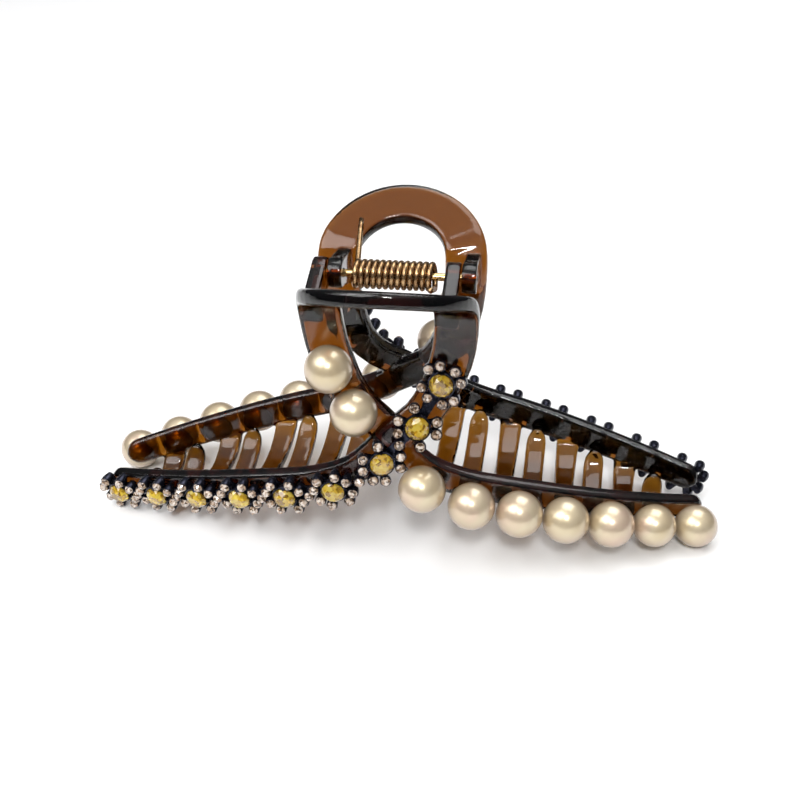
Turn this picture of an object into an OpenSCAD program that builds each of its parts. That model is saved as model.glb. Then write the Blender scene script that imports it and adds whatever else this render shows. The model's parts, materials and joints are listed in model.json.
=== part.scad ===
// Claw hair clip: two identical jaws of clear brown plastic on one hinge pin, closed by a torsion spring.
// Each jaw is a D-ring handle whose two sides run down as strands, cross, and spread as two toothed arms.
// One strand carries a row of pearls and the other a chain of flowers set with stones.
// +X runs along the hinge, +Z is up, and the front jaw lies on the -Y side. The back jaw is the front
// jaw turned half a turn about Z, so each shape is described once, in the front jaw.

/* [Arms] */
// Distance from the middle of the clip to the end of an arm
arm_reach = 53.5; // [52:0.5:56]
// How far the pearl arm stands out from the middle plane, at the crossing
arm_stand = 12; // [11:0.1:12.4]
// How far the end of the pearl arm curves back towards the middle plane
arm_bow = 10.6; // [9:0.1:11]
// How much further out the end of the stone arm stays
stone_spread = 2.2; // [1:0.1:3]
// Fall of the arms below the horizontal, per millimetre of reach
arm_slope = 0.24; // [0.2:0.005:0.26]
// Width of a strand's outer face, on an arm
strand_w = 5.4; // [5:0.1:6]
// Width of an arm just before its rounded end
arm_end_w = 4.8; // [4:0.1:5]
// Thickness of a strand
strand_t = 2.6; // [2.4:0.1:3]
// Thickness of an arm at its end
arm_end_t = 2.2; // [2:0.1:2.6]
// Height by which the stone strand passes over the pearl strand
strand_over = 1.9; // [1:0.1:2.1]

/* [Handle] */
// Outer diameter of the handle ring
ring_d = 28.9; // [28:0.1:30]
// Width of the ring's band
ring_band = 7.1; // [6.4:0.1:7.6]
// Slope of the ring above the horizontal
ring_slope = 30.5; // [28:0.5:34]
// Distance of the ring's rim from the middle plane
ring_out = 19.5; // [18.5:0.1:21]
// Height of the ring's rim above the hinge axis
ring_up = 6.6; // [5.5:0.1:7.5]

/* [Teeth] */
// Teeth on each arm
teeth = 4; // [3:1:4]
// Distance between the teeth of one arm
tooth_pitch = 10.7; // [10.4:0.1:11]
// Distance of the pearl arm's first tooth from the middle
tooth_start = 13.5; // [12.5:0.1:14]
// Width of a tooth where it leaves the arm
tooth_root_w = 4.3; // [3.6:0.1:4.6]
// Width of a tooth near its tip
tooth_w = 3.6; // [2.8:0.1:3.8]
// Thickness of a tooth
tooth_t = 2; // [1.6:0.1:2.4]

/* [Hinge] */
// Diameter of the hinge pin
pin_d = 1.3; // [1.2:0.05:1.5]
// Radial clearance of the pin in the front jaw's lugs
pin_clearance = 0.05; // [0.03:0.01:0.08]
// Diameter of a lug's rounded end
lug_d = 5; // [4.6:0.1:5.4]
// Thickness of a lug
lug_t = 2.4; // [2:0.1:2.5]
// Gap between two lugs that pass each other
lug_gap = 0.2; // [0.1:0.05:0.3]
// Distance from the middle to the inner lug
lug_inner_x = 8.4; // [8.3:0.1:8.8]

/* [Spring] */
// Turns of the torsion spring
spring_turns = 13; // [10:1:13]
// Outer diameter of the spring
spring_d = 4.9; // [4.6:0.1:5.2]
// Diameter of the spring's wire
wire_d = 0.95; // [0.9:0.05:1]

/* [Trim] */
// Diameter of a pearl
pearl_d = 8; // [7.6:0.1:8.1]
// Diameter of the last two pearls of a row
end_pearl_d = 7.5; // [7:0.1:8]
// Distance between pearls, along the strand
pearl_pitch = 8; // [7.9:0.05:8.1]
// Distance between the two upper pearls, along the strand
upper_pitch = 9.6; // [9:0.1:10]
// Depth to which a pearl is let into its strand
pearl_seat = 1.2; // [0.6:0.1:1.3]
// How far the trim sits below the middle of an arm
trim_drop = 1; // [0.8:0.1:1.2]
// Pearls on the arm
arm_pearls = 7; // [6:1:7]
// Flowers in a chain
flowers = 9; // [8:1:9]
// Distance between the flowers, along the strand
flower_pitch = 8.8; // [8.7:0.05:8.9]
// Diameter of a flower's centre stone
stone_d = 4; // [3.8:0.1:4.2]
// Diameter of a small stone
petal_d = 1.65; // [1.6:0.05:1.75]

/* [Hidden] */
sides = ["front", "back"];
pearls = arm_pearls + 2;
$fn = 48;

plastic = [0.45, 0.24, 0.08];
brass = [0.80, 0.62, 0.30];
gunmetal = [0.16, 0.16, 0.19];
pearl_white = [0.93, 0.88, 0.78];
topaz = [0.85, 0.62, 0.12];
champagne = [0.88, 0.75, 0.66];

// ---- Strand centre lines --------------------------------------------------------------------
// A strand is listed for the pearl side: it leaves the ring on -X and its arm points to +X. Each place is
// [x, distance out from the middle plane, height above the hinge, elevation of the outward normal].

strand_half = strand_w / 2;
ring_r = (ring_d - ring_band) / 2;

// The ring's band, from the top of the arch (a = 0) towards its widest place (a = 90)
function ring_place(a) =
    let (down = ring_band / 2 + ring_r * (1 - cos(a)))
    [
        -ring_r * sin(a),
        ring_out - down * cos(ring_slope),
        ring_up - down * sin(ring_slope),
        ring_slope - 90
    ];

// From the ring, down past the hinge and out again to the crossing, where the strand swings to its arm
neck_places = [
    [-10.9, 8.0, -1.6, -42],
    [-10.8, 7.1, -5.8, -4],
    [-10.3, 6.9, -9.7, 6],
    [-9.2, 6.9, -13.7, 22],
    [-7.7, 7.2, -17.4, 32],
    [-5.0, 7.8, -21.2, 19],
    [-1.2, 8.6, -24.0, 4],
    [2.0, 10.2, -26.9, -4],
    [6.1, 11.6, -30.1, -4]
];

// An arm, at a distance x along its reach
arm_drop = 29.9;
arm_lean = 3;
arm_twist = 6;
function arm_out(x, stones = false) = arm_stand - (arm_bow - (stones ? stone_spread : 0)) * pow(x / arm_reach, 2);
function arm_z(x) = -arm_drop - arm_slope * x;
function arm_place(x) = [x, arm_out(x), arm_z(x), -arm_lean - arm_twist * x / arm_reach];

arm_from = 13;
arm_steps = 5;
places = concat(
    [for (a = [0:15:75]) ring_place(a)],
    neck_places,
    [for (i = [0:arm_steps]) arm_place(arm_from + (arm_reach - arm_from) * i / arm_steps)]
);

// Catmull-Rom curve through the places; u runs from 0 to the number of spans. Before the ring's top it
// goes on as its own mirror image.
spans = len(places) - 1;
function mirrored(p) = [-p[0], p[1], p[2], p[3]];
function before(i) = i > 0 ? places[i - 1] : mirrored(places[1]);
function after(i) = i < spans ? places[i + 1] : 2 * places[spans] - places[spans - 1];
function curve(u) = u < 0 ? mirrored(curve(-u)) :
    let (
        i = min(floor(u), spans - 1),
        t = u - i,
        p = before(i),
        q = places[i],
        r = places[i + 1],
        s = after(i + 1)
    )
    q + t * (r - p) / 2 + t * t * (p - 2.5 * q + 2 * r - s / 2) + t * t * t * (1.5 * (q - r) + (s - p) / 2);

function unit(v) = v / norm(v);
function blend(a, b, t) = a + (b - a) * min(1, max(0, t));
function smooth(t) = let (c = min(1, max(0, t))) c * c * (3 - 2 * c);

// The stone strand is the mirror image, raised over the pearl strand from the crossing outwards
first_over = 9;
last_over = 12;
function lift(u) =
    strand_over * smooth((u - first_over) / (last_over - first_over))
    + stone_spread * pow(max(0, curve(max(0, u))[0]) / arm_reach, 2);
function point(stones, u) =
    let (p = curve(u), out = stones ? p[1] + lift(u) : p[1])
    [stones ? -p[0] : p[0], -out, p[2]];

// Frame of a strand at u: [point, tangent, outward normal, direction across]
nudge = 0.02;
function frame(stones, u) =
    let (
        e = curve(u)[3],
        tangent = unit(point(stones, u + nudge) - point(stones, u - nudge)),
        hint = [0, -cos(e), sin(e)],
        normal = unit(hint - (hint * tangent) * tangent)
    )
    [point(stones, u), tangent, normal, cross(normal, tangent)];

// Length along a strand, and the place u at a length
table_steps = 6;
us = [for (i = [0:spans * table_steps]) i / table_steps];
function lengths(stones, i = 0, sum = 0) =
    i == len(us) ? [] : concat(
        [[sum, us[i]]],
        lengths(stones, i + 1, i + 1 < len(us)
            ? sum + norm(point(stones, us[i + 1]) - point(stones, us[i])) : sum)
    );
pearl_table = lengths(false);
stone_table = lengths(true);
function at_length(stones, s) = lookup(s, stones ? stone_table : pearl_table);
function strand_length(stones) = let (t = stones ? stone_table : pearl_table) t[len(t) - 1][0];

// Sizes of the band at a length: half its width and half its thickness, with a rounded end
end_round = arm_end_w / 2;
narrow_from = 27;
narrow_to = 48;
taper_over = 30;
end_flat = 0.3;
function half_width(s, total) =
    let (
        left = total - s,
        neck = blend(ring_band / 2, strand_half, (s - narrow_from) / (narrow_to - narrow_from)),
        body = blend(arm_end_w / 2, neck, left / taper_over),
        r = min(1, left / end_round)
    )
    body * max(end_flat, sqrt(1 - (1 - r) * (1 - r)));
function half_thickness(s, total) = blend(arm_end_t, strand_t, (total - s) / taper_over) / 2;

// ---- Swept bands ----------------------------------------------------------------------------

// A rounded oblong, as [across, out] pairs
corner_steps = 3;
function oblong(hw, ht, r) = [
    for (c = [[1, 1, 0], [-1, 1, 90], [-1, -1, 180], [1, -1, 270]], k = [0:corner_steps])
        let (a = c[2] + 90 * k / corner_steps)
        [c[0] * (hw - r) + r * cos(a), c[1] * (ht - r) + r * sin(a)]
];

// Closed skin over rings of points that all have the same count. Points go to a fine grid, so that the
// two strands' ends, mirror images of each other, meet exactly at the top of the ring.
grid = 0.0001;
function snap(p) = [for (v = p) round(v / grid) * grid];
module skin(rings) {
    n = len(rings[0]);
    last = len(rings) - 1;
    points = [for (ring = rings, p = ring) snap(p)];
    walls = [
        for (i = [0:last - 1], j = [0:n - 1])
            let (a = i * n + j, b = i * n + (j + 1) % n)
            each [[a, b + n, b], [a, a + n, b + n]]
    ];
    start = [[for (j = [0:n - 1]) j]];
    end = [[for (j = [n - 1:-1:0]) last * n + j]];
    polyhedron(points, concat(start, walls, end), convexity = 6);
}

// One strand, from the top of the ring to the end of its arm
edge_round = 0.8;
ring_step = 1.25;
ring_reach = 22;
band_step = 2.4;
end_steps = 4;
module strand(stones) {
    total = strand_length(stones);
    body_end = total - end_round;
    ring_steps = ceil(ring_reach / ring_step);
    body_steps = ceil((body_end - ring_reach) / band_step);
    stations = concat(
        [for (i = [0:ring_steps]) ring_reach * i / ring_steps],
        [for (i = [1:body_steps]) ring_reach + (body_end - ring_reach) * i / body_steps],
        [for (k = [1:end_steps]) body_end + end_round * sin(90 * k / end_steps)]
    );
    rings = [
        for (s = stations)
            let (
                f = frame(stones, at_length(stones, s)),
                hw = half_width(s, total),
                ht = half_thickness(s, total)
            )
            [for (q = oblong(hw, ht, min(edge_round, 0.9 * min(hw, ht)))) f[0] + f[3] * q[0] + f[2] * q[1]]
    ];
    skin(rings);
}

// ---- Teeth ----------------------------------------------------------------------------------

// A tooth leaves the lower edge of its arm, sags across the clip and stops short of the other arm
tooth_root = 1.2;
tooth_sag = 4.2;
tooth_rise = 2;
tooth_stop = 3.4;
tooth_slant = 0.8;
tooth_steps = 10;
tip_part = 0.16;
tip_w = 0.35;
function bezier(p, t) =
    pow(1 - t, 3) * p[0] + 3 * t * pow(1 - t, 2) * p[1] + 3 * t * t * (1 - t) * p[2] + pow(t, 3) * p[3];
module tooth(x, own_out, far_out) {
    foot_z = arm_z(abs(x)) - strand_half + 0.4;
    route = [
        [own_out, foot_z + tooth_root],
        [own_out - 1, foot_z - tooth_sag],
        [tooth_stop - far_out, foot_z - tooth_sag],
        [tooth_stop - far_out, foot_z + tooth_rise]
    ];
    rings = [
        for (i = [0:tooth_steps])
            let (
                t = 1 - pow(1 - i / tooth_steps, 1.5),
                p = bezier(route, t),
                d = unit(bezier(route, min(1, t + nudge)) - bezier(route, max(0, t - nudge))),
                c = min(1, (1 - t) / tip_part),
                w = blend(tooth_root_w, tooth_w, 2 * t),
                hw = w / 2 * max(tip_w, sqrt(1 - (1 - c) * (1 - c))),
                ht = tooth_t / 2 * blend(0.75, 1, c)
            )
            [for (q = oblong(hw, ht, ht * 0.7)) [x + tooth_slant * t + q[0], -p[0] + q[1] * d[1], p[1] + q[1] * d[0]]]
    ];
    skin(rings);
}

module jaw_teeth() {
    for (i = [0:teeth - 1]) {
        pearl_x = tooth_start + i * tooth_pitch;
        stone_x = pearl_x - 0.46 * tooth_pitch;
        tooth(pearl_x - tooth_slant, arm_out(pearl_x), arm_out(pearl_x, true) + strand_over);
        tooth(-stone_x, arm_out(stone_x, true) + strand_over, arm_out(stone_x));
    }
}

// ---- Jaws -----------------------------------------------------------------------------------

lug_outer_x = lug_inner_x + lug_t + lug_gap;
lug_root_out = 7.3;
lug_root_z = [-5.4, 0.6];

// A lug reaches from the pin to the handle, with its round end on the pin
module lug(x, bore) {
    translate([x, 0, 0])
    rotate([90, 0, 90])
    difference() {
        union() {
            linear_extrude(lug_t)
            polygon([
                [0, lug_d / 2],
                [-lug_root_out, lug_root_z[1]],
                [-lug_root_out + 0.7, lug_root_z[0]],
                [0, -lug_d / 2]
            ]);
            cylinder(d = lug_d, h = lug_t);
        }
        translate([0, 0, -lug_t])
        cylinder(d = bore, h = 3 * lug_t);
    }
}

// The jaw with its bores. One lug is at the outer place and the other at the inner one, so that
// the two jaws' lugs pass beside each other.
module jaw(bore) {
    color(plastic)
    resize([0, 0, 0])
    union() {
        strand(false);
        strand(true);
        jaw_teeth();
        lug(-lug_outer_x - lug_t, bore);
        lug(lug_inner_x, bore);
    }
}

// Puts a shape of the front jaw in the clip's frame, on the front or the back jaw
module on(side) {
    translate([0, 0, hinge_z])
    rotate([0, 0, side == "front" ? 0 : 180])
    children();
}

module front_jaw() on("front") jaw(pin_d + 2 * pin_clearance);
module back_jaw() on("back") jaw(pin_d);

// ---- Pin and spring -------------------------------------------------------------------------

pin_len = 2 * (lug_outer_x + lug_t) - 0.4;
module hinge_pin() {
    color(brass)
    translate([0, 0, hinge_z])
    rotate([0, 90, 0])
    cylinder(d = pin_d, h = pin_len, center = true);
}

// The coil turns about the hinge axis. Each end leaves it underneath, and runs straight up one handle.
coil_r = (spring_d - wire_d) / 2;
coil_pitch = wire_d + 0.05;
turn_steps = 16;
wire_sides = 8;
leg_angle = ring_slope - 2;
leg_reach = 11.6;
leg_x = 7.3;
coil_angle = 360 * spring_turns + 2 * leg_angle;
coil_len = coil_pitch * coil_angle / 360;
coil_steps = spring_turns * turn_steps;
function coil_point(i) =
    let (a = coil_angle * i / coil_steps - leg_angle)
    [coil_len * (i / coil_steps - 0.5), -coil_r * sin(a), -coil_r * cos(a)];
leg_run = leg_reach - coil_r * sin(leg_angle);
leg_tip = [leg_x, -leg_reach, leg_run * tan(leg_angle) - coil_r * cos(leg_angle)];
spring_path = concat(
    [[-leg_tip[0], -leg_tip[1], leg_tip[2]]],
    [for (i = [0:coil_steps]) coil_point(i)],
    [leg_tip]
);
function path_dir(path, i) =
    unit(path[min(i + 1, len(path) - 1)] - path[max(i - 1, 0)]);

module torsion_spring() {
    rings = [
        for (i = [0:len(spring_path) - 1])
            let (
                d = path_dir(spring_path, i),
                side = unit([1, 0, 0] - d[0] * d),
                up = cross(d, side)
            )
            [
                for (k = [0:wire_sides - 1])
                    let (a = 360 * k / wire_sides)
                    spring_path[i] + wire_d / 2 * (cos(a) * side + sin(a) * up)
            ]
    ];
    color(brass)
    translate([0, 0, hinge_z])
    skin(rings);
}

// ---- Pearls ---------------------------------------------------------------------------------

// Pearls 1 and 2 sit on the strand above the crossing, and the others on its arm
upper_pearl_s = 27.4;
arm_pearl_s = 53.7;
function pearl_size(i) = i > pearls - 2 ? end_pearl_d : pearl_d;
function pearl_s(i) =
    i < 3 ? upper_pearl_s + (i - 1) * upper_pitch : arm_pearl_s + (i - 3) * pearl_pitch;
// How far down across its strand the trim sits: in the middle near the ring, and lower on the arm
function drop(s) = trim_drop * smooth((s - narrow_from) / (narrow_to - narrow_from));
function pearl_place(i) =
    let (
        s = pearl_s(i),
        f = frame(false, at_length(false, s)),
        rise = half_thickness(s, strand_length(false)) + pearl_size(i) / 2 - pearl_seat
    )
    f[0] + f[2] * rise - f[3] * drop(s);

// Height of the hinge axis: the clip stands on the last pearls
hinge_z = end_pearl_d / 2 - pearl_place(pearls)[2];

module pearl(side, i) {
    color(pearl_white)
    on(side)
    translate(pearl_place(i))
    sphere(d = pearl_size(i));
}

// ---- Flower chains --------------------------------------------------------------------------

first_flower_s = 30.7;
cup_d = petal_d + 0.3;
cup_foot_d = 1.2;
cup_h = 2;
centre_h = 2;
base_h = 0.6;
base_r = 3.3;
chain_seat = 0.4;
link_w = 1.6;

// Small stones of a flower, as [along, across] from its middle; four more mirror each pair
petal_at = [[1.7, 2.85], [3.1, 1.3]];

// Puts a shape on the stone strand's outer face, with Z outwards and X along the strand
module on_chain(s) {
    f = frame(true, at_length(true, s));
    p = f[0] + f[2] * (half_thickness(s, strand_length(true)) - chain_seat) + f[3] * drop(s);
    multmatrix([
        [f[1][0], -f[3][0], f[2][0], p[0]],
        [f[1][1], -f[3][1], f[2][1], p[1]],
        [f[1][2], -f[3][2], f[2][2], p[2]]
    ])
    children();
}
function flower_s(i) = first_flower_s + (i - 1) * flower_pitch;

// The small stones' places: eight in each flower and one between neighbours
module petal_places() {
    for (i = [1:flowers]) {
        on_chain(flower_s(i))
        for (p = petal_at, x = [-1, 1], y = [-1, 1]) {
            translate([x * p[0], y * p[1], 0])
            children();
        }
    }
    for (i = [1:flowers - 1]) {
        on_chain(flower_s(i + 0.5))
        children();
    }
}

module flower_chain(side) {
    color(gunmetal)
    on(side)
    union() {
        for (i = [1:flowers]) {
            on_chain(flower_s(i)) {
                cylinder(d = stone_d + 0.6, h = centre_h);
                cylinder(r = base_r, h = base_h);
            }
        }
        petal_places()
        cylinder(d1 = cup_foot_d, d2 = cup_d, h = cup_h);
        for (i = [1:flowers - 1]) {
            on_chain(flower_s(i + 0.5))
            translate([-flower_pitch / 4, -link_w / 2, 0.1])
            cube([flower_pitch / 2, link_w, base_h]);
        }
    }
}

// A cut stone: a straight girdle, a sloping crown and a flat table
module cut_stone(d, girdle, crown, table) {
    cylinder(d = d, h = girdle);
    translate([0, 0, girdle])
    cylinder(d1 = d, d2 = d * table, h = crown);
}

module small_stones(side) {
    color(champagne)
    on(side)
    petal_places()
    translate([0, 0, cup_h])
    cut_stone(petal_d, 0.2, 0.5, 0.6);
}

module centre_stone(side, i) {
    color(topaz)
    on(side)
    on_chain(flower_s(i))
    translate([0, 0, centre_h])
    cut_stone(stone_d, 0.3, 0.9, 0.6, $fn = 12);
}

// ---- The clip -------------------------------------------------------------------------------

front_jaw();
back_jaw();
hinge_pin();
torsion_spring();
for (s = sides) {
    flower_chain(s);
    small_stones(s);
    for (i = [1:pearls]) {
        pearl(s, i);
    }
    for (i = [1:flowers]) {
        centre_stone(s, i);
    }
}
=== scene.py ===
import json
import math
from collections import defaultdict

import bmesh
import bpy
from mathutils import Matrix, Vector, noise


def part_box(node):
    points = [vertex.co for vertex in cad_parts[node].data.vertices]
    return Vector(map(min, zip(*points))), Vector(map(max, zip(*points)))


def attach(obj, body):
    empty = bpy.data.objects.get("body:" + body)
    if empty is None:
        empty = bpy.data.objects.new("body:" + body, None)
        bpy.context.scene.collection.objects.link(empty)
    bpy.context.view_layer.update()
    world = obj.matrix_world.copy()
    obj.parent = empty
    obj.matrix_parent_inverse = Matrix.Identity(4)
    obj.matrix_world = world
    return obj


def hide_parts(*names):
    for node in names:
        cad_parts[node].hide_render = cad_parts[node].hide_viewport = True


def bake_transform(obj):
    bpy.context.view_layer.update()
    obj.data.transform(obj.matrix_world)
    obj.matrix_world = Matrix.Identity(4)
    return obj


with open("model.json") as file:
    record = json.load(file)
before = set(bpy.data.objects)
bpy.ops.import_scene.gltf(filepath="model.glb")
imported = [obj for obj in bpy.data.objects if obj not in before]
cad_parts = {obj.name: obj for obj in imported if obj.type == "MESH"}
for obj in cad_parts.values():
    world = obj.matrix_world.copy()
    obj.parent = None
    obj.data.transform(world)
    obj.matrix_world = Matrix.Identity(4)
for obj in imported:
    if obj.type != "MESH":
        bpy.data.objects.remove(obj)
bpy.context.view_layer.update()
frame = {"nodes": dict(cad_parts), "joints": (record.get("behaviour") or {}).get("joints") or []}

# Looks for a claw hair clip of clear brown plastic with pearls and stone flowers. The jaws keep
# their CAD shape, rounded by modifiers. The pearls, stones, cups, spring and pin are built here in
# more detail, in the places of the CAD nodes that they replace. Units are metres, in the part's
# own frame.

MM = 0.001
SIDES = ("front", "back")
BODY = {"front": "front_half", "back": "back_half"}
nodes = frame["nodes"]
hinge = Vector(frame["joints"][0]["pos_m"])
SHARP_EDGE = math.radians(40)


# ---- Materials ------------------------------------------------------------------------------

def new_material(name):
    """A node material, as (material, tree, principled shader)."""
    material = bpy.data.materials.new(name)
    material.use_nodes = True
    tree = material.node_tree
    return material, tree, tree.nodes["Principled BSDF"]


def noise_map(tree, scale, detail, stretch=(1, 1, 1)):
    """Noise over the object, at features per metre. Returns its Fac output."""
    place = tree.nodes.new("ShaderNodeTexCoord")
    mapping = tree.nodes.new("ShaderNodeMapping")
    mapping.inputs["Scale"].default_value = stretch
    texture = tree.nodes.new("ShaderNodeTexNoise")
    texture.inputs["Scale"].default_value = scale
    texture.inputs["Detail"].default_value = detail
    tree.links.new(place.outputs["Object"], mapping.inputs["Vector"])
    tree.links.new(mapping.outputs["Vector"], texture.inputs["Vector"])
    return texture.outputs["Fac"]


def ramp(tree, source, stops):
    """Colour ramp from (position, colour) stops. Returns its Color output."""
    node = tree.nodes.new("ShaderNodeValToRGB")
    elements = node.color_ramp.elements
    while len(elements) < len(stops):
        elements.new(0.5)  # its own position is set below
    for element, (position, colour) in zip(elements, stops):
        element.position = position
        element.color = (*colour, 1)
    tree.links.new(source, node.inputs["Fac"])
    return node.outputs["Color"]


def span(tree, source, low, high, target):
    """Maps source, 0 to 1, on low to high, and links it to target."""
    node = tree.nodes.new("ShaderNodeMapRange")
    node.inputs["To Min"].default_value = low
    node.inputs["To Max"].default_value = high
    tree.links.new(source, node.inputs["Value"])
    tree.links.new(node.outputs["Result"], target)


def bump(tree, source, strength, distance, target):
    """Bump from source, linked to target."""
    node = tree.nodes.new("ShaderNodeBump")
    node.inputs["Strength"].default_value = strength
    node.inputs["Distance"].default_value = distance
    tree.links.new(source, node.inputs["Height"])
    tree.links.new(node.outputs["Normal"], target)


PLASTIC_TINT = (0.725, 0.54, 0.02, 1)
PLASTIC_DENSITY = 2400
PLASTIC_IOR = 1.49


def clear_plastic():
    """Clear brown plastic: its colour deepens with thickness, and flow lines stir its gloss."""
    material, tree, shader = new_material("clear_brown_plastic")
    shader.inputs["Base Color"].default_value = (0.95, 0.92, 0.85, 1)
    shader.inputs["Transmission Weight"].default_value = 1.0
    shader.inputs["IOR"].default_value = PLASTIC_IOR
    span(tree, noise_map(tree, 900, 4), 0.03, 0.11, shader.inputs["Roughness"])
    flow = noise_map(tree, 220, 2, stretch=(1, 1, 0.35))
    bump(tree, flow, 0.25, 0.06 * MM, shader.inputs["Normal"])
    volume = tree.nodes.new("ShaderNodeVolumeAbsorption")
    volume.inputs["Color"].default_value = PLASTIC_TINT
    volume.inputs["Density"].default_value = PLASTIC_DENSITY
    tree.links.new(volume.outputs["Volume"], tree.nodes["Material Output"].inputs["Volume"])
    return material


PEARL_TONES = [(0.30, (0.60, 0.47, 0.29)), (0.52, (0.66, 0.55, 0.38)), (0.72, (0.66, 0.49, 0.37))]
# Painted shade: the colour each pearl darkens to towards its rim as seen
PEARL_PAINTED_RIM_SHADE = (0.30, 0.21, 0.12, 1)
PEARL_FILM_NM = 420


def pearl_coat():
    """Pearlescent coating: cream with pink and gold patches under a clear gloss, darkened towards
    its rim as seen, which is painted shade.
    """
    material, tree, shader = new_material("pearl_coat")
    colour = ramp(tree, noise_map(tree, 160, 2), PEARL_TONES)
    # Painted shade: the base colour darkens where the surface turns away from view
    edge = tree.nodes.new("ShaderNodeLayerWeight")
    edge.inputs["Blend"].default_value = 0.35
    mix = tree.nodes.new("ShaderNodeMix")
    mix.data_type = "RGBA"
    tree.links.new(edge.outputs["Facing"], mix.inputs["Factor"])
    tree.links.new(colour, mix.inputs["A"])
    mix.inputs["B"].default_value = PEARL_PAINTED_RIM_SHADE
    tree.links.new(mix.outputs["Result"], shader.inputs["Base Color"])
    shader.inputs["Metallic"].default_value = 0.45
    span(tree, noise_map(tree, 2600, 3), 0.26, 0.36, shader.inputs["Roughness"])
    shader.inputs["Coat Weight"].default_value = 0.8
    shader.inputs["Coat Roughness"].default_value = 0.12
    shader.inputs["Thin Film Thickness"].default_value = PEARL_FILM_NM
    shader.inputs["Thin Film IOR"].default_value = 1.6
    bump(tree, noise_map(tree, 700, 2), 0.12, 0.04 * MM, shader.inputs["Normal"])
    return material


def wire(name, dark, light, rough_low, rough_high):
    """Drawn metal wire: streaks of tone and of roughness."""
    material, tree, shader = new_material(name)
    streaks = noise_map(tree, 900, 4, stretch=(0.4, 1, 1))
    tree.links.new(ramp(tree, streaks, [(0.30, dark), (0.70, light)]), shader.inputs["Base Color"])
    shader.inputs["Metallic"].default_value = 1.0
    span(tree, noise_map(tree, 2500, 3), rough_low, rough_high, shader.inputs["Roughness"])
    bump(tree, noise_map(tree, 5000, 2), 0.15, 0.02 * MM, shader.inputs["Normal"])
    return material


PLATING_TONES = [
    (0.35, (0.012, 0.014, 0.024)), (0.62, (0.030, 0.032, 0.050)), (0.80, (0.075, 0.066, 0.072)),
]


def cup_plating():
    """Blue-black plating of the stone cups, with a little wear."""
    material, tree, shader = new_material("cup_plating")
    wear = ramp(tree, noise_map(tree, 1500, 4), PLATING_TONES)
    tree.links.new(wear, shader.inputs["Base Color"])
    shader.inputs["Metallic"].default_value = 0.85
    span(tree, noise_map(tree, 3000, 2), 0.16, 0.34, shader.inputs["Roughness"])
    bump(tree, noise_map(tree, 2200, 2), 0.2, 0.03 * MM, shader.inputs["Normal"])
    return material


def painted_glint_cells(tree, scale):
    """A random value, 0 to 1, for each small cell, to place the painted glints and painted dark
    facets of a cut stone.
    """
    place = tree.nodes.new("ShaderNodeTexCoord")
    cells = tree.nodes.new("ShaderNodeTexVoronoi")
    cells.inputs["Scale"].default_value = scale
    value = tree.nodes.new("ShaderNodeSeparateColor")
    tree.links.new(place.outputs["Object"], cells.inputs["Vector"])
    tree.links.new(cells.outputs["Color"], value.inputs["Color"])
    return value.outputs["Red"]


STONE_IOR = 1.56


def stone_glass(name, scale, dark, tint, painted_glint, clearness):
    """Cut glass with a tinted body, with painted glints and painted dark facets in random cells:
    clearness is the share of light that passes through it.
    """
    material, tree, shader = new_material(name)
    # Painted shade and painted highlight: random cells are coloured dark as shaded facets, and
    # near-white as glints
    tones = ramp(tree, painted_glint_cells(tree, scale), [(0.15, dark), (0.55, tint), (0.90, painted_glint)])
    tree.links.new(tones, shader.inputs["Base Color"])
    shader.inputs["Transmission Weight"].default_value = clearness
    shader.inputs["IOR"].default_value = STONE_IOR
    shader.inputs["Coat Weight"].default_value = 1.0
    shader.inputs["Coat Roughness"].default_value = 0.02
    span(tree, noise_map(tree, 4000, 2), 0.0, 0.03, shader.inputs["Roughness"])
    return material


def foil(name, dark, light):
    """Foil behind a stone: its tone changes from patch to patch."""
    material, tree, shader = new_material(name)
    tones = ramp(tree, noise_map(tree, 1100, 3), [(0.35, dark), (0.65, light)])
    tree.links.new(tones, shader.inputs["Base Color"])
    shader.inputs["Metallic"].default_value = 1.0
    span(tree, noise_map(tree, 3000, 2), 0.10, 0.30, shader.inputs["Roughness"])
    return material


PLASTIC = clear_plastic()
PEARL = pearl_coat()
SPRING_WIRE = wire("spring_wire", (0.20, 0.11, 0.055), (0.50, 0.33, 0.17), 0.20, 0.34)
PIN_WIRE = wire("pin_wire", (0.60, 0.42, 0.18), (0.88, 0.68, 0.34), 0.14, 0.26)
PLATING = cup_plating()
# Each stone's colours, in order: a painted dark-facet shade, its body tint and a painted glint,
# then its clearness
TOPAZ = stone_glass(
    "topaz_glass", 1500, (0.34, 0.19, 0.01), (0.80, 0.52, 0.03), (1.0, 0.80, 0.12), 0.6
)
TOPAZ_FOIL = foil("topaz_foil", (0.30, 0.17, 0.01), (0.92, 0.66, 0.06))
CHAMPAGNE = stone_glass(
    "champagne_glass", 2600, (0.10, 0.06, 0.035), (0.62, 0.44, 0.31), (1.0, 0.90, 0.80), 0.4
)
CHAMPAGNE_FOIL = foil("champagne_foil", (0.16, 0.10, 0.06), (0.78, 0.55, 0.38))


# ---- Mesh tools -----------------------------------------------------------------------------

def finish_piece(mesh, name, side_body, replaced, materials, smooth):
    """Makes a piece of a bmesh: it rides on a body, and stands for the CAD nodes it replaces."""
    data = bpy.data.meshes.new(name)
    bmesh.ops.recalc_face_normals(mesh, faces=mesh.faces)
    mesh.to_mesh(data)
    mesh.free()
    for material in materials:
        data.materials.append(material)
    if smooth:
        data.shade_smooth()
    piece = bpy.data.objects.new(name, data)
    bpy.context.scene.collection.objects.link(piece)
    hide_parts(*replaced)
    if side_body:
        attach(piece, side_body)
    return piece


# Sine of the tilt below which an axis counts as vertical
LEAST_TILT = 0.1


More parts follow.
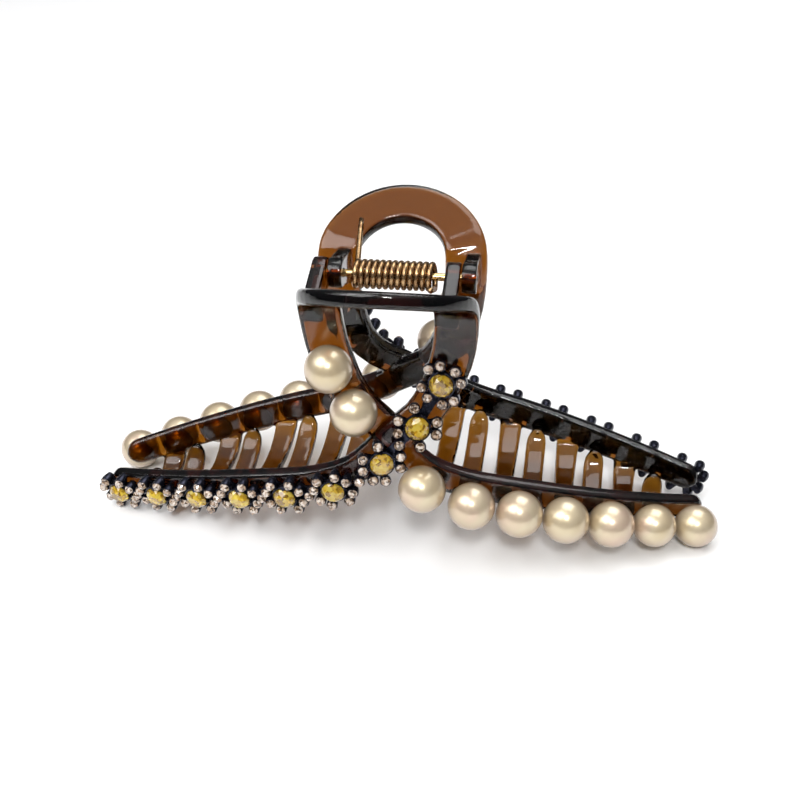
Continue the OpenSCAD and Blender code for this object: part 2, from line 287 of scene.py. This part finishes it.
def upright(origin, axis):
    """Matrix that puts a shape at origin with its Z along axis, and its X as level as can be."""
    level = Vector((0, 0, 1)).cross(axis)
    x = level.normalized() if level.length > LEAST_TILT else Vector((1, 0, 0))
    y = axis.cross(x)
    place = Matrix((x, y, axis)).transposed().to_4x4()
    place.translation = origin
    return place


def add_rings(mesh, rings):
    """Joins rings of points, each with the same count, with quads, and closes both ends."""
    loops = [[mesh.verts.new(p) for p in ring] for ring in rings]
    count = len(loops[0])
    for low, high in zip(loops, loops[1:]):
        for i in range(count):
            j = (i + 1) % count
            mesh.faces.new((low[i], low[j], high[j], high[i]))
    mesh.faces.new(list(reversed(loops[0])))
    mesh.faces.new(loops[-1])


def circle(place, radius, height, count, turn=0.0):
    """Points of a level circle in a placed frame."""
    return [
        place @ Vector((
            radius * math.cos(turn + math.tau * i / count),
            radius * math.sin(turn + math.tau * i / count),
            height,
        ))
        for i in range(count)
    ]


# ---- Where the CAD's stones are -------------------------------------------------------------

SAME_POINT = 1e-7
FOOT_TOLERANCE = 0.03 * MM
# A foot that reaches this many times the usual radius belongs to two stones
TWO_STONES = 1.2


def loose_parts(node):
    """The separate solids of a CAD node, each as a list of (corner points, normal, area)."""
    mesh = bmesh.new()
    mesh.from_mesh(nodes[node].data)
    bmesh.ops.remove_doubles(mesh, verts=mesh.verts, dist=SAME_POINT)
    parts, seen = [], set()
    for start in mesh.faces:
        if start in seen:
            continue
        seen.add(start)
        reach, part = [start], []
        while reach:
            face = reach.pop()
            part.append(([v.co.copy() for v in face.verts], face.normal.copy(), face.calc_area()))
            for edge in face.edges:
                for other in edge.link_faces:
                    if other not in seen:
                        seen.add(other)
                        reach.append(other)
        parts.append(part)
    mesh.free()
    return parts


def foot_of(part):
    """A cut stone's (foot centre, axis, radius, foot points): its foot is the largest flat face."""
    areas = defaultdict(float)
    for _, normal, area in part:
        areas[tuple(round(c, 2) for c in normal)] += area
    largest = max(areas, key=areas.get)
    axis = -Vector(largest).normalized()
    points = {tuple(round(c, 7) for c in p) for corners, _, _ in part for p in corners}
    points = [Vector(p) for p in sorted(points)]
    lowest = min(p.dot(axis) for p in points)
    foot = [p for p in points if p.dot(axis) - lowest < FOOT_TOLERANCE]
    centre = sum(foot, Vector()) / len(foot)
    radius = max((p - centre).length for p in foot)
    return centre, axis, radius, foot


def stone_places(node):
    """The (foot centre, axis) of each solid's stone, and the stones' radius.

    A solid whose foot spans two stones is split in two. Where three tilted stones are fused in
    one solid, only one of them is found, so the jaws' two such solids give one stone each.
    """
    feet = [foot_of(part) for part in loose_parts(node)]
    radius = sorted(foot[2] for foot in feet)[len(feet) // 2]
    places = []
    for centre, axis, reach, points in feet:
        if reach < TWO_STONES * radius:
            places.append((centre, axis))
            continue
        far = max(
            ((a, b) for a in points for b in points),
            key=lambda pair: (pair[0] - pair[1]).length,
        )
        inwards = (far[1] - far[0]).normalized() * radius
        places += [(far[0] + inwards, axis), (far[1] - inwards, axis)]
    return places, radius


# ---- Jaws -----------------------------------------------------------------------------------

JAW_WELD = 1e-6
JAW_VOXEL = 0.2 * MM
JAW_SMOOTHINGS = 16


def mould(jaw):
    """Rounds the CAD jaw's edges and inner corners as a moulding's are."""
    weld = jaw.modifiers.new("weld", "WELD")
    weld.merge_threshold = JAW_WELD
    remesh = jaw.modifiers.new("remesh", "REMESH")
    remesh.mode = "VOXEL"
    remesh.voxel_size = JAW_VOXEL
    remesh.use_smooth_shade = True
    smooth = jaw.modifiers.new("rounded", "SMOOTH")
    smooth.factor = 0.5
    smooth.iterations = JAW_SMOOTHINGS
    jaw.data.materials.clear()
    jaw.data.materials.append(PLASTIC)


for side in SIDES:
    mould(nodes[side + "_jaw"])


# ---- Pearls ---------------------------------------------------------------------------------

PEARLS = 9
PEARL_SEGMENTS = 64
# How far a pearl is out of round, as a share of its radius, and how fast that changes over it
PEARL_SWELL = 0.003
SWELL_SCALE = 260
SWELL_SEED_SCALE = 900


def build_pearl(side, number):
    """A pearl: a sphere that is very slightly out of round."""
    node = f"{side}_pearl_{number}"
    low, high = (Vector(corner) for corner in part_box(node))
    centre = (low + high) / 2
    radius = (high.z - low.z) / 2
    mesh = bmesh.new()
    bmesh.ops.create_uvsphere(
        mesh, u_segments=PEARL_SEGMENTS, v_segments=PEARL_SEGMENTS // 2, radius=radius
    )
    for vert in mesh.verts:
        swell = noise.noise(vert.co * SWELL_SCALE + centre * SWELL_SEED_SCALE)
        vert.co = centre + vert.co * (1 - PEARL_SWELL * (1 + swell))
    finish_piece(mesh, f"{node}_bead", BODY[side], [node], [PEARL], True)


for side in SIDES:
    for number in range(1, PEARLS + 1):
        build_pearl(side, number)


# ---- Stones and cups ------------------------------------------------------------------------

FLOWERS = 9
CUP_HEIGHT = 2.0 * MM
SMALL_CROWN = 0.7 * MM
CENTRE_CROWN = 1.2 * MM
SMALL_CUP_R = 0.97 * MM
CENTRE_CUP_R = 2.3 * MM
SMALL_SIDES = 6
CENTRE_SIDES = 8
GLASS, FOIL = 0, 1
# A stone's crown and foil, as shares of its radius (R) and height (Z)
GIRDLE_Z = 0.2
MIDDLE_R, MIDDLE_Z = 0.84, 0.55
TABLE_R = 0.58
FOIL_R, FOIL_Z = 0.93, 0.14
WAIST_R, WAIST_Z = 0.62, -0.10
TIP_Z = -0.55
# A cup's section, as shares of its radius and height
CUP_OUTSIDE = [(0.42, 0), (0.62, 0.02), (0.80, 0.30), (0.97, 0.62), (1.0, 0.86), (0.98, 1.0)]
CUP_INSIDE = [(0.90, 1.0), (0.87, 0.86), (0.55, 0.45)]
CUP_SEGMENTS = 24
# The rings of a cup that its claws lift and bend in, as (radius, lift, bend)
CLAW_RINGS = [(1.0, 0.10, 0.10), (0.93, 0.08, 0.12)]
CLAWS = 4
CLAW_SHARPNESS = 6
PETALS = 8
# The flat bars under the cups: from a centre cup to its petals, and from one centre cup to the next
PETAL_BAR_WIDTH, PETAL_BAR_LIFT = 1.1 * MM, 0.1 * MM
LINK_BAR_WIDTH, LINK_BAR_LIFT = 1.5 * MM, 0.15 * MM
BAR_THICKNESS = 0.5 * MM


def add_stone(mesh, place, radius, height, sides):
    """A brilliant's crown in glass, over a foiled cone."""
    girdle = height * GIRDLE_Z
    lower = circle(place, radius, 0, 2 * sides)
    edge = circle(place, radius, girdle, 2 * sides)
    middle_z = girdle + (height - girdle) * MIDDLE_Z
    middle = circle(place, radius * MIDDLE_R, middle_z, sides, math.pi / sides)
    table = circle(place, radius * TABLE_R, height, sides)
    loops = (lower, edge, middle, table)
    low, rim, mid, top = ([mesh.verts.new(p) for p in ring] for ring in loops)
    faces = [mesh.faces.new(top), mesh.faces.new(list(reversed(low)))]
    for i in range(2 * sides):
        j = (i + 1) % (2 * sides)
        faces.append(mesh.faces.new((low[i], low[j], rim[j], rim[i])))
    for i in range(sides):
        j = (i + 1) % sides
        faces.append(mesh.faces.new((mid[i], top[j], top[i])))
        faces.append(mesh.faces.new((rim[2 * i], rim[2 * i + 1], mid[i])))
        faces.append(mesh.faces.new((rim[2 * i + 1], rim[(2 * i + 2) % (2 * sides)], mid[i])))
        faces.append(mesh.faces.new((top[i], mid[i - 1], rim[2 * i], mid[i])))
    for face in faces:
        face.material_index = GLASS
    add_foil(mesh, place, radius * FOIL_R, height, sides)


def add_foil(mesh, place, radius, height, sides):
    """The cut, foiled underside of a stone, seen through its crown."""
    start = circle(place, radius, height * FOIL_Z, 2 * sides)
    waist = circle(place, radius * WAIST_R, height * WAIST_Z, sides, math.pi / sides)
    upper, lower = ([mesh.verts.new(p) for p in ring] for ring in (start, waist))
    tip = mesh.verts.new(place @ Vector((0, 0, height * TIP_Z)))
    faces = []
    for i in range(sides):
        j = (i + 1) % sides
        faces.append(mesh.faces.new((upper[2 * i], upper[2 * i + 1], lower[i])))
        faces.append(mesh.faces.new((upper[2 * i + 1], upper[(2 * i + 2) % (2 * sides)], lower[i])))
        faces.append(mesh.faces.new((lower[i], upper[(2 * i + 2) % (2 * sides)], lower[j])))
        faces.append(mesh.faces.new((lower[i], lower[j], tip)))
    for face in faces:
        face.material_index = FOIL


def add_cup(mesh, place, radius, height):
    """A stone's cup on its foot, with claws bent in over the stone's edge."""
    rings = [circle(place, radius * r, height * z, CUP_SEGMENTS) for r, z in CUP_OUTSIDE]
    for r, lift, bend in CLAW_RINGS:
        ring = []
        for i in range(CUP_SEGMENTS):
            angle = math.tau * i / CUP_SEGMENTS
            claw = max(0.0, math.cos(CLAWS * angle)) ** CLAW_SHARPNESS
            reach = radius * (r - bend * claw)
            top = height + lift * claw * radius * 2
            ring.append(place @ Vector((reach * math.cos(angle), reach * math.sin(angle), top)))
        rings.append(ring)
    rings += [circle(place, radius * r, height * z, CUP_SEGMENTS) for r, z in CUP_INSIDE]
    add_rings(mesh, rings)


def add_bar(mesh, start, end, axis, width):
    """A flat bar from start to end, lying across axis."""
    along = (end - start).normalized()
    across = axis.cross(along).normalized() * width / 2
    up = axis * BAR_THICKNESS
    rings = [[p - across, p + across, p + across + up, p - across + up] for p in (start, end)]
    add_rings(mesh, rings)


def build_flowers(side):
    """The small stones, the centre stones and the cup chain of one jaw."""
    small, small_radius = stone_places(f"{side}_small_stones")
    centres = [foot_of(loose_parts(f"{side}_centre_stone_{i}")[0]) for i in range(1, FLOWERS + 1)]
    stones = bmesh.new()
    cups = bmesh.new()
    for foot, axis in small:
        add_stone(stones, upright(foot, axis), small_radius, SMALL_CROWN, SMALL_SIDES)
        add_cup(cups, upright(foot - axis * CUP_HEIGHT, axis), SMALL_CUP_R, CUP_HEIGHT)
    finish_piece(
        stones, f"{side}_small_stones_cut", BODY[side], [f"{side}_small_stones"],
        [CHAMPAGNE, CHAMPAGNE_FOIL], False,
    )

    for number, (foot, axis, radius, _) in enumerate(centres, 1):
        stone = bmesh.new()
        add_stone(stone, upright(foot, axis), radius, CENTRE_CROWN, CENTRE_SIDES)
        node = f"{side}_centre_stone_{number}"
        finish_piece(
            stone, f"{node}_cut", BODY[side], [node], [TOPAZ, TOPAZ_FOIL], False
        )
        base = foot - axis * CUP_HEIGHT
        add_cup(cups, upright(base, axis), CENTRE_CUP_R, CUP_HEIGHT)
        near = sorted(small, key=lambda place: (place[0] - foot).length)[:PETALS]
        for petal, petal_axis in near:
            start = base + axis * PETAL_BAR_LIFT
            end = petal - petal_axis * (CUP_HEIGHT - PETAL_BAR_LIFT)
            add_bar(cups, start, end, axis, PETAL_BAR_WIDTH)
    for (foot_a, axis_a, *_), (foot_b, axis_b, *_) in zip(centres, centres[1:]):
        start = foot_a - axis_a * (CUP_HEIGHT - LINK_BAR_LIFT)
        end = foot_b - axis_b * (CUP_HEIGHT - LINK_BAR_LIFT)
        add_bar(cups, start, end, (axis_a + axis_b).normalized(), LINK_BAR_WIDTH)
    chain = finish_piece(
        cups, f"{side}_cup_chain", BODY[side], [f"{side}_flower_chain"],
        [PLATING], True,
    )
    chain.data.set_sharp_from_angle(angle=SHARP_EDGE)


for side in SIDES:
    build_flowers(side)


# ---- Spring and pin -------------------------------------------------------------------------

WIRE_D = 0.95 * MM
COIL_D = 4.9 * MM
TURNS = 13
PITCH = WIRE_D + 0.05 * MM
LEG_ANGLE = math.radians(28.5)
TURN_STEPS = 40
LEG_STEPS = 8
WIRE_SIDES = 14
# Share of the wire's radius that is left at its two cut ends
WIRE_END = 0.86
# The pin's rounded end: its share of the radius, and the distance from its tip in millimetres
PIN_END = [(0.55, 0.0), (0.9, 0.10), (1.0, 0.32)]
PIN_SEGMENTS = 32


def build_spring():
    """The torsion spring: its left leg lies up the back handle, its right leg up the front."""
    low, high = (Vector(corner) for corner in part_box("torsion_spring"))
    coil_r = (COIL_D - WIRE_D) / 2
    sweep = math.tau * TURNS + 2 * LEG_ANGLE
    length = PITCH * sweep / math.tau
    steps = TURNS * TURN_STEPS
    path = []
    for i in range(steps + 1):
        angle = sweep * i / steps - LEG_ANGLE
        x = length * (i / steps - 0.5)
        path.append(Vector((x, -coil_r * math.sin(angle), -coil_r * math.cos(angle))))
    reach = (high.y - low.y) / 2 - WIRE_D / 2 * math.sin(LEG_ANGLE)
    leg_x = (high.x - low.x) / 2 - WIRE_D / 2
    rise = (reach - coil_r * math.sin(LEG_ANGLE)) * math.tan(LEG_ANGLE)
    rise -= coil_r * math.cos(LEG_ANGLE)
    for end, sign in ((path[0], 1), (path[-1], -1)):
        tip = Vector((-sign * leg_x, sign * reach, rise))
        leg = [end.lerp(tip, k / LEG_STEPS) for k in range(1, LEG_STEPS + 1)]
        path = list(reversed(leg)) + path if sign == 1 else path + leg
    mesh = bmesh.new()
    rings = []
    for i, point in enumerate(path):
        along = (path[min(i + 1, len(path) - 1)] - path[max(i - 1, 0)]).normalized()
        side = (Vector((1, 0, 0)) - along * along.x).normalized()
        up = along.cross(side)
        radius = WIRE_D / 2 * (WIRE_END if i in (0, len(path) - 1) else 1)
        turns = [math.tau * k / WIRE_SIDES for k in range(WIRE_SIDES)]
        rings.append([
            hinge + point + radius * (math.cos(turn) * side + math.sin(turn) * up) for turn in turns
        ])
    add_rings(mesh, rings)
    spring = finish_piece(
        mesh, "torsion_spring_coil", None, ["torsion_spring"], [SPRING_WIRE], True
    )
    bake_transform(spring)


def build_pin():
    """The hinge pin, with its ends upset and rounded."""
    low, high = (Vector(corner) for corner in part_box("hinge_pin"))
    radius = (high.z - low.z) / 2
    length = high.x - low.x
    place = upright(Vector((low.x, hinge.y, hinge.z)), Vector((1, 0, 0)))
    rings = [circle(place, radius * r, z * MM, PIN_SEGMENTS) for r, z in PIN_END]
    rings += [
        circle(place, radius * r, length - z * MM, PIN_SEGMENTS) for r, z in reversed(PIN_END)
    ]
    mesh = bmesh.new()
    add_rings(mesh, rings)
    pin = finish_piece(
        mesh, "hinge_pin_wire", BODY["back"], ["hinge_pin"], [PIN_WIRE], True
    )
    pin.data.set_sharp_from_angle(angle=SHARP_EDGE)


build_spring()
build_pin()


# ---- Floor, light and camera ----------------------------------------------------------------

FLOOR_REACH = 3
FLOOR_TONES = [(0.3, (0.90, 0.90, 0.90)), (0.7, (0.93, 0.93, 0.93))]
# By height in the sky: 0 is level, and 1 is overhead
SKY_TONES = [(0.10, (0.09, 0.09, 0.10)), (0.55, (0.16, 0.16, 0.17)), (0.90, (0.75, 0.75, 0.75))]


def build_stage():
    """A pale floor, and a sky that grows pale towards its top."""
    material, tree, shader = new_material("pale_floor")
    tones = ramp(tree, noise_map(tree, 4, 2), FLOOR_TONES)
    tree.links.new(tones, shader.inputs["Base Color"])
    shader.inputs["Roughness"].default_value = 0.7
    data = bpy.data.meshes.new("floor")
    r = FLOOR_REACH
    data.from_pydata([(-r, -r, 0), (r, -r, 0), (r, r, 0), (-r, r, 0)], [], [(0, 1, 2, 3)])
    data.materials.append(material)
    floor = bpy.data.objects.new("floor", data)
    bpy.context.scene.collection.objects.link(floor)

    world = bpy.data.worlds.new("soft_sky")
    world.use_nodes = True
    tree = world.node_tree
    direction = tree.nodes.new("ShaderNodeTexCoord")
    height = tree.nodes.new("ShaderNodeSeparateXYZ")
    tree.links.new(direction.outputs["Generated"], height.inputs["Vector"])
    sky = ramp(tree, height.outputs["Z"], SKY_TONES)
    tree.links.new(sky, tree.nodes["Background"].inputs["Color"])
    bpy.context.scene.world = world


# Each light's name, azimuth, elevation, distance, size and power
LIGHTS = [
    ("key", 8, 50, 0.6, 0.10, 1.4),
    ("front_soft", -48, 55, 0.62, 0.4, 2.2),
    ("left_fill", -75, 45, 0.7, 0.4, 0.8),
    ("back_top", 160, 65, 0.7, 0.5, 2.4),
]


def add_light(name, azimuth, elevation, distance, size, power):
    """A square soft light that looks at the clip. Azimuth 0 is in front, and grows towards +X."""
    a, e = math.radians(azimuth), math.radians(elevation)
    aim = Vector((0, 0, hinge.z / 2))
    direction = Vector((math.sin(a) * math.cos(e), -math.cos(a) * math.cos(e), math.sin(e)))
    data = bpy.data.lights.new(name, "AREA")
    data.energy = power
    data.size = size
    light = bpy.data.objects.new(name, data)
    light.location = aim + direction * distance
    light.rotation_euler = (-direction).to_track_quat("-Z", "Y").to_euler()
    bpy.context.scene.collection.objects.link(light)


CAMERA_FROM_HINGE = Vector((25.6, -150.1, 83.6)) * MM
CAMERA_YAW = 9.63
CAMERA_DOWN = 35.45
CAMERA_ROLL = -2.08
CAMERA_LENS = 48.03
CAMERA_SENSOR = 36


def build_camera():
    """The camera, above and in front of the clip and a little to its right."""
    data = bpy.data.cameras.new("camera")
    data.lens = CAMERA_LENS
    data.sensor_width = CAMERA_SENSOR
    data.clip_start = 0.01
    camera = bpy.data.objects.new("camera", data)
    turn = Matrix.Rotation(math.radians(CAMERA_YAW), 3, "Z")
    tilt = Matrix.Rotation(math.radians(90 - CAMERA_DOWN), 3, "X")
    roll = Matrix.Rotation(math.radians(CAMERA_ROLL), 3, "Z")
    camera.matrix_world = (turn @ tilt @ roll).to_4x4()
    camera.location = hinge + CAMERA_FROM_HINGE
    bpy.context.scene.collection.objects.link(camera)
    bpy.context.scene.camera = camera


build_stage()
for light in LIGHTS:
    add_light(*light)
build_camera()
bpy.context.scene.view_settings.view_transform = "Standard"
